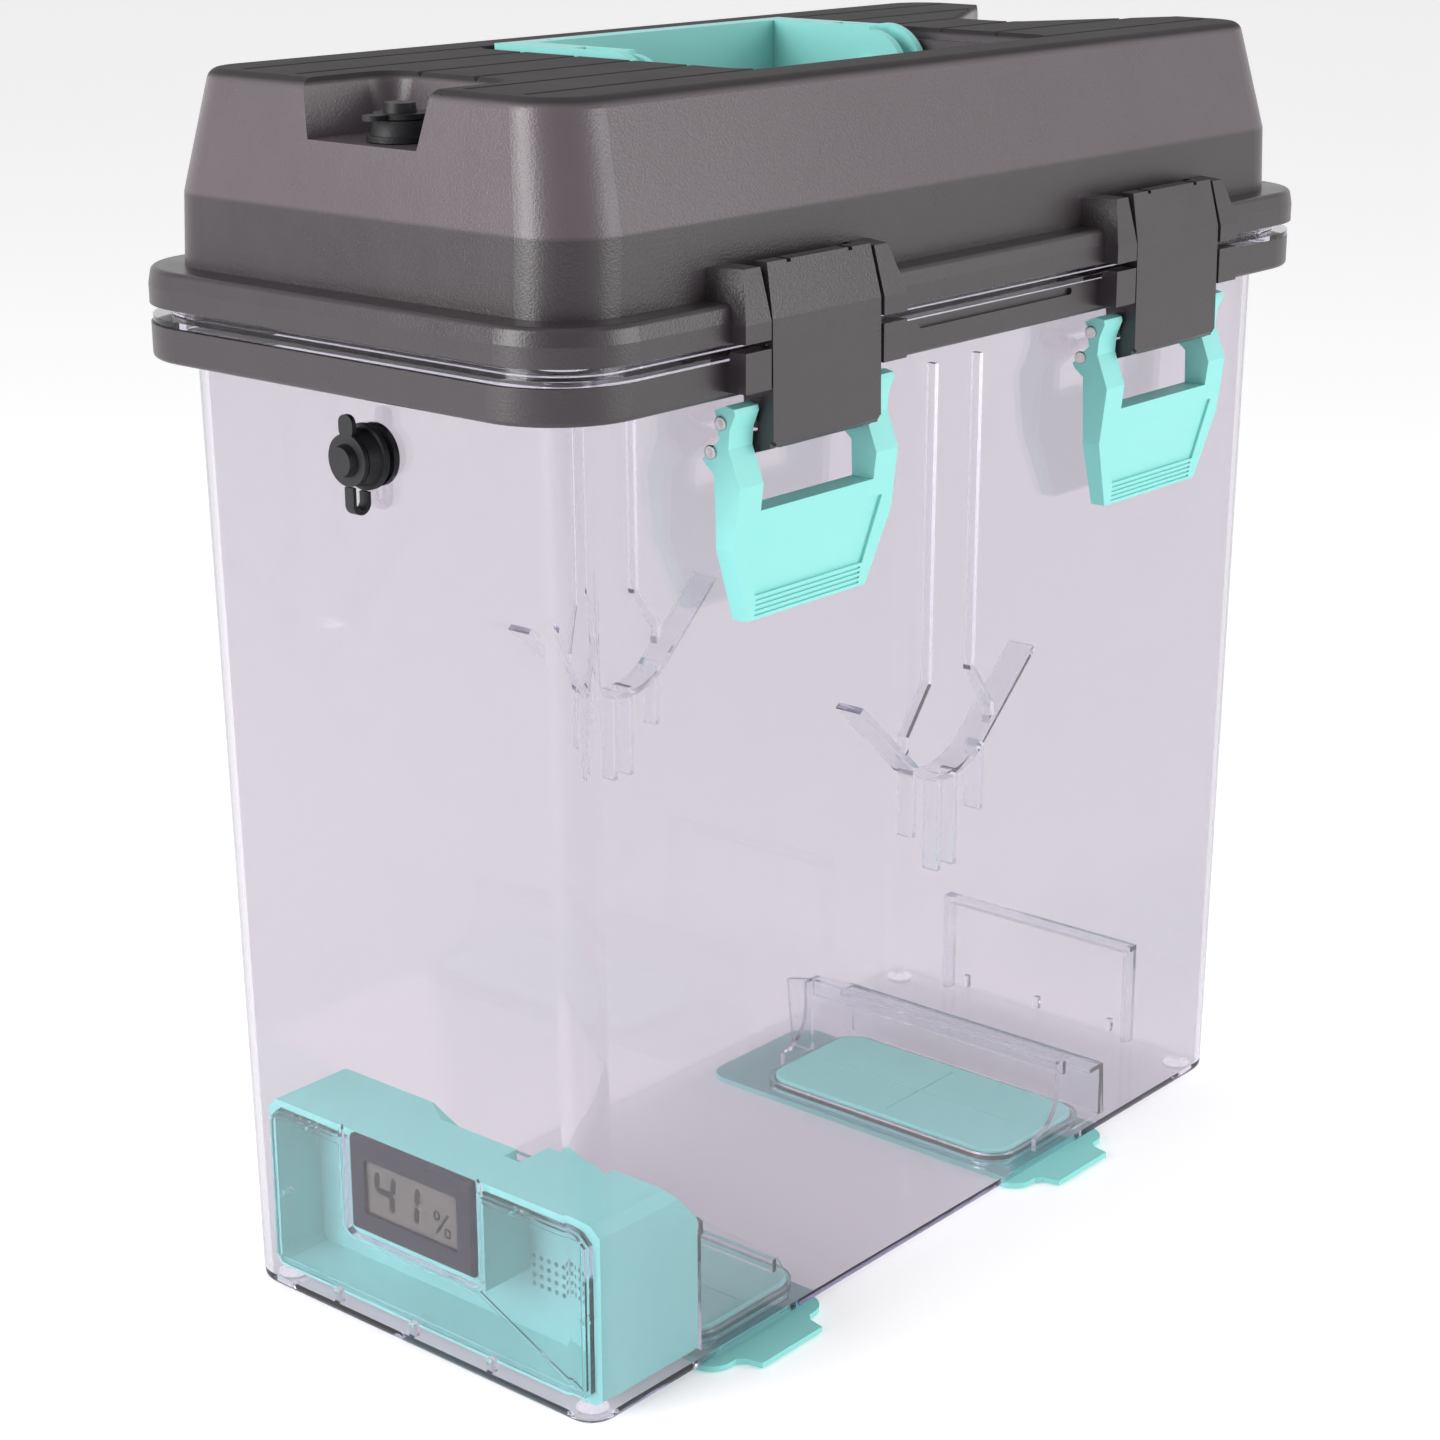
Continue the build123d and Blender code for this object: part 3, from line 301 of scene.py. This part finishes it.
def makeDarkPlastic():
    material, tree, shader = newMaterial("darkPlastic", Specular_IOR_Level=darkPlastic["specular"])
    surface = addMoulded(tree, shader, darkPlastic)
    place = addNode(tree, "ShaderNodeTexCoord")
    split = addNode(tree, "ShaderNodeSeparateXYZ")
    tree.links.new(place.outputs["Object"], split.inputs["Vector"])
    aboveKink = addHeightStep(tree, split.outputs["Z"], darkPlastic["kinkHeight"])
    onCrown = addHeightStep(tree, split.outputs["Z"], darkPlastic["crownHeight"])
    lower = addNode(
        tree,
        "ShaderNodeMix",
        {"A": darkPlastic["smooth"], "B": darkPlastic["base"]},
        data_type="RGBA",
    )
    tree.links.new(aboveKink, lower.inputs["Factor"])
    # painted shade: the dome's top takes the darker crown colour, for the light that falls less on
    # it
    upper = addNode(tree, "ShaderNodeMix", {"B": darkPlastic["crownPaintedShade"]}, data_type="RGBA")
    tree.links.new(onCrown, upper.inputs["Factor"])
    tree.links.new(lower.outputs["Result"], upper.inputs["A"])
    tree.links.new(upper.outputs["Result"], surface.inputs["Base"])
    matt = addNode(
        tree,
        "ShaderNodeMapRange",
        {"To Min": darkPlastic["roughness"], "To Max": darkPlastic["crownRoughness"]},
    )
    tree.links.new(onCrown, matt.inputs["Value"])
    tree.links.new(matt.outputs["Result"], surface.inputs["Roughness"])
    return material


# clear walls and covers; the absorption inside them tints the edges
clearPlastic = {
    "index": 1.49,
    "specular": 0.3,
    "edge": (0.66, 0.60, 0.93, 1),
    "density": 11.0,
}
wallFinish = {"tint": (0.762, 0.736, 0.77, 1), "roughness": 0.02, "shadow": 0.10}
innerFinish = {"tint": (0.95, 0.955, 0.975, 1), "roughness": 0.04, "shadow": 0.20}


def makeClearPlastic(name, finish):
    material, tree, shader = newMaterial(
        name,
        Base_Color=finish["tint"],
        Transmission_Weight=1.0,
        IOR=clearPlastic["index"],
        Metallic=0.0,
        Specular_IOR_Level=clearPlastic["specular"],
    )
    worn = placeGroup(tree, scratchGroup, {"Base Roughness": finish["roughness"]})
    tree.links.new(worn.outputs["Roughness"], shader.inputs["Roughness"])
    tree.links.new(worn.outputs["Normal"], shader.inputs["Normal"])
    # lets most light through for shadows, as a thin clear wall does
    path = addNode(tree, "ShaderNodeLightPath")
    passing = addNode(tree, "ShaderNodeMix", {"A": 1.0, "B": finish["shadow"]}, data_type="FLOAT")
    tree.links.new(path.outputs["Is Shadow Ray"], passing.inputs["Factor"])
    tree.links.new(passing.outputs["Result"], shader.inputs["Alpha"])
    volume = addNode(
        tree,
        "ShaderNodeVolumeAbsorption",
        {"Color": clearPlastic["edge"], "Density": clearPlastic["density"]},
    )
    tree.links.new(volume.outputs["Volume"], tree.nodes["Material Output"].inputs["Volume"])
    return material


# latches, handle, module and hatches: light turquoise
tealPlastic = {
    "base": (0.27, 0.70, 0.66, 1),
    "specular": 0.4,
    "drift": 0.07,
    "grainSize": 1700.0,
    "grainDepth": 0.14,
    "roughness": 0.4,
}
# seals, grommets, plugs and their straps
blackRubber = {
    "base": (0.011, 0.011, 0.013, 1),
    "specular": 0.35,
    "drift": 0.3,
    "grainSize": 1100.0,
    "grainDepth": 0.2,
    "roughness": 0.5,
}
# the meter's case, its circuit board and the figures on its display
meterCase = {
    "base": (0.016, 0.013, 0.028, 1),
    "specular": 0.3,
    "drift": 0.2,
    "grainSize": 2000.0,
    "grainDepth": 0.1,
    "roughness": 0.35,
}
boardGreen = {
    "base": (0.02, 0.11, 0.05, 1),
    "specular": 0.5,
    "drift": 0.2,
    "grainSize": 900.0,
    "grainDepth": 0.1,
    "roughness": 0.4,
}
displayInk = {
    "base": (0.006, 0.007, 0.008, 1),
    "specular": 0.3,
    "drift": 0.1,
    "grainSize": 400.0,
    "grainDepth": 0.02,
    "roughness": 0.3,
}
# turned steel with fine rings round the pins
pinSteel = {
    "dark": (0.34, 0.34, 0.35, 1),
    "light": (0.66, 0.65, 0.64, 1),
    "stretch": (30, 1, 1),
    "lineScale": 900.0,
    "shiny": 0.25,
    "dull": 0.42,
}


def makeSteel():
    material, tree, shader = newMaterial("pinSteel", Metallic=1.0)
    place = addNode(tree, "ShaderNodeTexCoord")
    turned = addNode(tree, "ShaderNodeMapping", {"Scale": pinSteel["stretch"]})
    tree.links.new(place.outputs["Object"], turned.inputs["Vector"])
    lines = addNode(tree, "ShaderNodeTexNoise", {"Scale": pinSteel["lineScale"], "Detail": 3.0})
    tree.links.new(turned.outputs["Vector"], lines.inputs["Vector"])
    tone = addNode(
        tree,
        "ShaderNodeMix",
        {"A": pinSteel["dark"], "B": pinSteel["light"]},
        data_type="RGBA",
    )
    tree.links.new(lines.outputs["Fac"], tone.inputs["Factor"])
    tree.links.new(tone.outputs["Result"], shader.inputs["Base Color"])
    rough = addNode(
        tree, "ShaderNodeMapRange", {"To Min": pinSteel["shiny"], "To Max": pinSteel["dull"]}
    )
    tree.links.new(lines.outputs["Fac"], rough.inputs["Value"])
    tree.links.new(rough.outputs["Result"], shader.inputs["Roughness"])
    return material


# warm grey liquid crystal glass with a faint cloud
displayFinish = {
    "dark": (0.10, 0.095, 0.08, 1),
    "light": (0.125, 0.118, 0.10, 1),
    "cloudScale": 60.0,
    "roughness": 0.18,
    "coat": 0.6,
    "coatRoughness": 0.05,
}


def makeDisplay():
    material, tree, shader = newMaterial(
        "displayGlass",
        Roughness=displayFinish["roughness"],
        Coat_Weight=displayFinish["coat"],
        Coat_Roughness=displayFinish["coatRoughness"],
    )
    place = addNode(tree, "ShaderNodeTexCoord")
    cloud = addNode(
        tree, "ShaderNodeTexNoise", {"Scale": displayFinish["cloudScale"], "Detail": 2.0}
    )
    tree.links.new(place.outputs["Object"], cloud.inputs["Vector"])
    tone = addNode(
        tree,
        "ShaderNodeMix",
        {"A": displayFinish["dark"], "B": displayFinish["light"]},
        data_type="RGBA",
    )
    tree.links.new(cloud.outputs["Fac"], tone.inputs["Factor"])
    tree.links.new(tone.outputs["Result"], shader.inputs["Base Color"])
    return material


steel = makeSteel()
useMaterial(makeDarkPlastic(), "rim_band", "lid_shell", "near_hook_plate", "far_hook_plate")
useMaterial(
    makeMouldedPlastic("tealPlastic", tealPlastic),
    "near_latch_lever",
    "far_latch_lever",
    "carry_handle",
    "module_housing",
    "near_hatch",
    "far_hatch",
)
useMaterial(makeClearPlastic("clearWall", wallFinish), "clear_bin")
useMaterial(
    makeClearPlastic("clearInner", innerFinish),
    "module_cover",
    "near_hatch_guard",
    "far_hatch_guard",
    "far_bay_frame",
    "front_spool_cradle",
    "rear_spool_cradle",
)
useMaterial(
    makeMouldedPlastic("blackRubber", blackRubber),
    "lid_seal",
    "near_hatch_seal",
    "far_hatch_seal",
    "lid_outlet_grommet",
    "lid_outlet_plug",
    "lid_outlet_strap",
    "wall_outlet_grommet",
    "wall_outlet_plug",
    "wall_outlet_strap",
)
useMaterial(
    steel,
    "hinge_pins",
    "latch_pivot_pins",
    "near_link_pin",
    "far_link_pin",
    "handle_pins",
    "meter_cells",
)
useMaterial(makeMouldedPlastic("meterPlastic", meterCase), "meter_case")
useMaterial(makeDisplay(), "meter_display")
useMaterial(makeMouldedPlastic("boardGreen", boardGreen), "meter_board")
print("materials assigned")


# joins loose pieces into one under a new name
def joinPieces(pieces, name):
    bpy.ops.object.select_all(action="DESELECT")
    for piece in pieces:
        piece.select_set(True)
    bpy.context.view_layer.objects.active = pieces[0]
    bpy.ops.object.join()
    joined = bpy.context.view_layer.objects.active
    joined.name = name
    return joined


# figures on the display; each one's place is its left side, towards +Y from the middle
digits = {
    "height": 0.0112,
    "width": 0.0064,
    "stroke": 0.0019,
    "lean": 0.10,
    "pointed": 1.15,  # how far each end is drawn back, in half strokes
    "lift": 0.00012,
    "thick": 0.00010,
    "places": (("4", 0.0147), ("1", 0.0052)),
}
percent = {
    "left": -0.0085,
    "ring": (0.0018, 0.0022),
    "ringStroke": 0.0006,
    "upperRing": (0.0, 0.0042),
    "lowerRing": (-0.0040, 0.0),
    "slashFrom": (0.0006, 0.0),
    "slashTo": (0.0054, 0.0068),
    "slashStroke": 0.0008,
}
# which strokes each figure lights:
# top, upper left, upper right, middle, lower left, lower right, bottom
figures = {"4": "0111010", "1": "0010010"}


# one flat stroke just in front of the display's face
def addStroke(corners):
    x = displayLow.x - digits["lift"]
    vertices = [(x, y, z) for y, z in corners]
    mesh = bpy.data.meshes.new("stroke")
    mesh.from_pydata(vertices, [], [tuple(range(len(vertices)))])
    piece = bpy.data.objects.new("stroke", mesh)
    bpy.context.collection.objects.link(piece)
    return piece


# six corners of a bar between two points, with pointed ends
def strokeOutline(start, end, stroke):
    along = (Vector(end) - Vector(start)).normalized()
    across = Vector((-along.y, along.x)) * stroke / 2
    nose = along * stroke / 2
    first = Vector(start) + nose * digits["pointed"]
    last = Vector(end) - nose * digits["pointed"]
    return [
        first - nose,
        first - across,
        last - across,
        last + nose,
        last + across,
        first + across,
    ]


# a seven-stroke figure; the viewer looks along +X, so it runs towards -Y
def addFigure(character, left, base):
    h, w = digits["height"], digits["width"]
    ends = [
        ((0, h), (w, h)),
        ((0, h / 2), (0, h)),
        ((w, h / 2), (w, h)),
        ((0, h / 2), (w, h / 2)),
        ((0, 0), (0, h / 2)),
        ((w, 0), (w, h / 2)),
        ((0, 0), (w, 0)),
    ]
    made = []
    for lit, (start, end) in zip(figures[character], ends):
        if lit == "1":
            outline = strokeOutline(start, end, digits["stroke"])
            corners = [(left - u - v * digits["lean"], base + v) for u, v in outline]
            made.append(addStroke(corners))
    return made


# a per cent sign of two small rings and a slash
def addPercent(left, base):
    w, h = percent["ring"]
    sides = (((0, 0), (0, h)), ((w, 0), (w, h)), ((0, h), (w, h)), ((0, 0), (w, 0)))
    made = []
    for y, z in (percent["upperRing"], percent["lowerRing"]):
        for start, end in sides:
            outline = strokeOutline(start, end, percent["ringStroke"])
            made.append(addStroke([(left + y - u, base + z + v) for u, v in outline]))
    slash = strokeOutline(percent["slashFrom"], percent["slashTo"], percent["slashStroke"])
    made.append(addStroke([(left - u, base + v) for u, v in slash]))
    return made


displayLow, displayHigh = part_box("meter_display")
displayMiddle = (displayLow + displayHigh) / 2
figureBase = displayMiddle.z - digits["height"] / 2
strokes = []
for character, left in digits["places"]:
    strokes += addFigure(character, displayMiddle.y + left, figureBase)
strokes += addPercent(displayMiddle.y + percent["left"], figureBase)
readout = joinPieces(strokes, "meter_readout")
bpy.ops.object.mode_set(mode="EDIT")
bpy.ops.mesh.select_all(action="SELECT")
bpy.ops.mesh.extrude_region_move(TRANSFORM_OT_translate={"value": (digits["thick"], 0, 0)})
bpy.ops.mesh.select_all(action="SELECT")
bpy.ops.mesh.normals_make_consistent(inside=False)
bpy.ops.object.mode_set(mode="OBJECT")
readout.data.materials.append(makeMouldedPlastic("displayInk", displayInk))
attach(readout, "module")
print("display figures made")


# steel heads at the ends of the latch pins, each with a shallow dimple
pinHeads = {
    "radius": 0.0018,
    "height": 0.0008,
    "sides": 32,
    "round": 0.0003,
    "roundSteps": 3,
    "dimple": 0.0007,
    "sink": 0.0001,
    "smoothBelow": 35,
}


def makePinHead():
    bpy.ops.object.select_all(action="DESELECT")
    bpy.ops.mesh.primitive_cylinder_add(
        vertices=pinHeads["sides"],
        radius=pinHeads["radius"],
        depth=pinHeads["height"],
        rotation=(0, math.pi / 2, 0),
    )
    head = bpy.context.active_object
    bpy.ops.object.transform_apply(location=True, rotation=True, scale=True)
    rounding = head.modifiers.new("rounding", "BEVEL")
    rounding.width = pinHeads["round"]
    rounding.segments = pinHeads["roundSteps"]
    rounding.limit_method = "ANGLE"
    bpy.ops.object.modifier_apply(modifier="rounding")
    # only the two flat ends face along the pin and have many corners
    for face in head.data.polygons:
        face.select = abs(face.normal.x) > 0.99 and len(face.vertices) > 8
    bpy.ops.object.mode_set(mode="EDIT")
    bpy.ops.mesh.select_mode(type="FACE")
    bpy.ops.mesh.inset(thickness=pinHeads["dimple"], depth=-pinHeads["sink"])
    bpy.ops.object.mode_set(mode="OBJECT")
    bpy.ops.object.shade_smooth_by_angle(angle=math.radians(pinHeads["smoothBelow"]))
    return head


# copies of one head at the given places, joined into one piece on one body
def placePinHeads(name, body, places):
    copies = []
    for place in places:
        copy = pinHead.copy()
        copy.data = pinHead.data.copy()
        copy.data.transform(Matrix.Translation(place))
        bpy.context.collection.objects.link(copy)
        copies.append(copy)
    piece = joinPieces(copies, name)
    piece.data.materials.append(steel)
    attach(piece, body)


# both ends of a pin, just outside the lever's arms
def pinEnds(lever, y, z):
    low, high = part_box(lever)
    reach = pinHeads["height"] / 2 - pinHeads["sink"]
    return [(low.x - reach, y, z), (high.x + reach, y, z)]


pinHead = makePinHead()
pivotLow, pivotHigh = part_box("latch_pivot_pins")
pivotMiddle = (pivotLow + pivotHigh) / 2
pivotEnds = []
for side in ("near", "far"):
    linkLow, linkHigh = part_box(side + "_link_pin")
    linkMiddle = (linkLow + linkHigh) / 2
    lever = side + "_latch_lever"
    linkEnds = pinEnds(lever, linkMiddle.y, linkMiddle.z)
    placePinHeads(side + "_link_heads", side + "_lever", linkEnds)
    pivotEnds += pinEnds(lever, pivotMiddle.y, pivotMiddle.z)
placePinHeads("latch_pivot_heads", "bin", pivotEnds)
bpy.data.objects.remove(pinHead, do_unlink=True)
bpy.ops.object.select_all(action="DESELECT")
print("pin heads made")


# a pale floor that glows a little, so that it stays near white
floorLook = {
    "size": 14,
    "dark": (0.90, 0.90, 0.905, 1),
    "light": (0.93, 0.93, 0.93, 1),
    "cloudScale": 0.6,
    "roughness": 0.6,
    "specular": 0.2,
    "glow": 0.26,
}


def makeFloor():
    bpy.ops.mesh.primitive_plane_add(size=floorLook["size"], location=(0, 0, 0))
    floor = bpy.context.active_object
    floor.name = "floor"
    material, tree, shader = newMaterial(
        "paleFloor",
        Roughness=floorLook["roughness"],
        Specular_IOR_Level=floorLook["specular"],
        Emission_Color=(1, 1, 1, 1),
        Emission_Strength=floorLook["glow"],
    )
    place = addNode(tree, "ShaderNodeTexCoord")
    cloud = addNode(tree, "ShaderNodeTexNoise", {"Scale": floorLook["cloudScale"], "Detail": 2.0})
    tree.links.new(place.outputs["Object"], cloud.inputs["Vector"])
    tone = addNode(
        tree,
        "ShaderNodeMix",
        {"A": floorLook["dark"], "B": floorLook["light"]},
        data_type="RGBA",
    )
    tree.links.new(cloud.outputs["Fac"], tone.inputs["Factor"])
    tree.links.new(tone.outputs["Result"], shader.inputs["Base Color"])
    floor.data.materials.append(material)


makeFloor()
print("floor laid")

# bright near the horizon and dimmer overhead, as between tall white screens,
# with a dark gap at one corner
sky = {
    "horizon": (1.0, 0.99, 1.0, 1),
    "zenith": (0.52, 0.52, 0.53, 1),
    "riseStart": 0.15,
    "riseEnd": 0.85,
    "gap": (0.14, 0.14, 0.15, 1),
    "gapSide": (-0.75, -0.66, 0.0),
    "gapStart": 0.72,
    "gapEnd": 0.96,
    "strength": 1.0,
}


def makeSky():
    world = bpy.data.worlds.new("softRoom")
    bpy.context.scene.world = world
    world.use_nodes = True
    tree = world.node_tree
    link = tree.links.new
    place = addNode(tree, "ShaderNodeTexCoord")
    split = addNode(tree, "ShaderNodeSeparateXYZ")
    link(place.outputs["Generated"], split.inputs["Vector"])
    rise = addNode(
        tree, "ShaderNodeMapRange", {"From Min": sky["riseStart"], "From Max": sky["riseEnd"]}
    )
    link(split.outputs["Z"], rise.inputs["Value"])
    tone = addNode(
        tree, "ShaderNodeMix", {"A": sky["horizon"], "B": sky["zenith"]}, data_type="RGBA"
    )
    link(rise.outputs["Result"], tone.inputs["Factor"])
    facing = addNode(
        tree, "ShaderNodeVectorMath", {1: sky["gapSide"]}, operation="DOT_PRODUCT"
    )
    link(place.outputs["Generated"], facing.inputs[0])
    gap = addNode(
        tree, "ShaderNodeMapRange", {"From Min": sky["gapStart"], "From Max": sky["gapEnd"]}
    )
    link(facing.outputs["Value"], gap.inputs["Value"])
    mixed = addNode(tree, "ShaderNodeMix", {"B": sky["gap"]}, data_type="RGBA")
    link(gap.outputs["Result"], mixed.inputs["Factor"])
    link(tone.outputs["Result"], mixed.inputs["A"])
    background = tree.nodes["Background"]
    background.inputs["Strength"].default_value = sky["strength"]
    link(mixed.outputs["Result"], background.inputs["Color"])


makeSky()

# tall soft lights that face the middle of the box
softboxes = {
    "keyBox": {"place": (-1.7, 0.5, 0.8), "width": 0.9, "height": 1.3, "watts": 30},
    "fillBox": {"place": (0.9, -1.9, 0.65), "width": 1.3, "height": 1.0, "watts": 19},
}


def addSoftbox(name, box, target):
    data = bpy.data.lights.new(name, "AREA")
    data.shape = "RECTANGLE"
    data.size = box["width"]
    data.size_y = box["height"]
    data.energy = box["watts"]
    lamp = bpy.data.objects.new(name, data)
    bpy.context.collection.objects.link(lamp)
    lamp.location = box["place"]
    aim = target - Vector(box["place"])
    lamp.rotation_euler = aim.to_track_quat("-Z", "Y").to_euler()


for name, box in softboxes.items():
    addSoftbox(name, box, (cadLow + cadHigh) / 2)
print("lights placed")

viewpoint = {
    "place": (-0.6418, -0.5315, 0.4132),
    "heading": 39.83,
    "tilt": -17.88,
    "lens": 73.6,
    "sensor": 36.0,
    "shift": (-0.0266, 0.0065),
    "nearest": 0.01,
}


def makeCamera():
    data = bpy.data.cameras.new("camera")
    data.lens = viewpoint["lens"]
    data.sensor_width = viewpoint["sensor"]
    data.shift_x, data.shift_y = viewpoint["shift"]
    data.clip_start = viewpoint["nearest"]
    camera = bpy.data.objects.new("camera", data)
    bpy.context.collection.objects.link(camera)
    heading = math.radians(viewpoint["heading"])
    tilt = math.radians(viewpoint["tilt"])
    flat = math.cos(tilt)
    aim = Vector((math.cos(heading) * flat, math.sin(heading) * flat, math.sin(tilt)))
    camera.location = viewpoint["place"]
    camera.rotation_euler = aim.to_track_quat("-Z", "Y").to_euler()
    bpy.context.scene.camera = camera


makeCamera()
bpy.context.scene.view_settings.view_transform = "Standard"
# light has to pass along inside the clear walls for their edges to glow
lightSteps = {"all": 24, "glossy": 14, "transmission": 20, "transparent": 32}
paths = bpy.context.scene.cycles
paths.max_bounces = lightSteps["all"]
paths.glossy_bounces = lightSteps["glossy"]
paths.transmission_bounces = lightSteps["transmission"]
paths.transparent_max_bounces = lightSteps["transparent"]
print("camera placed")
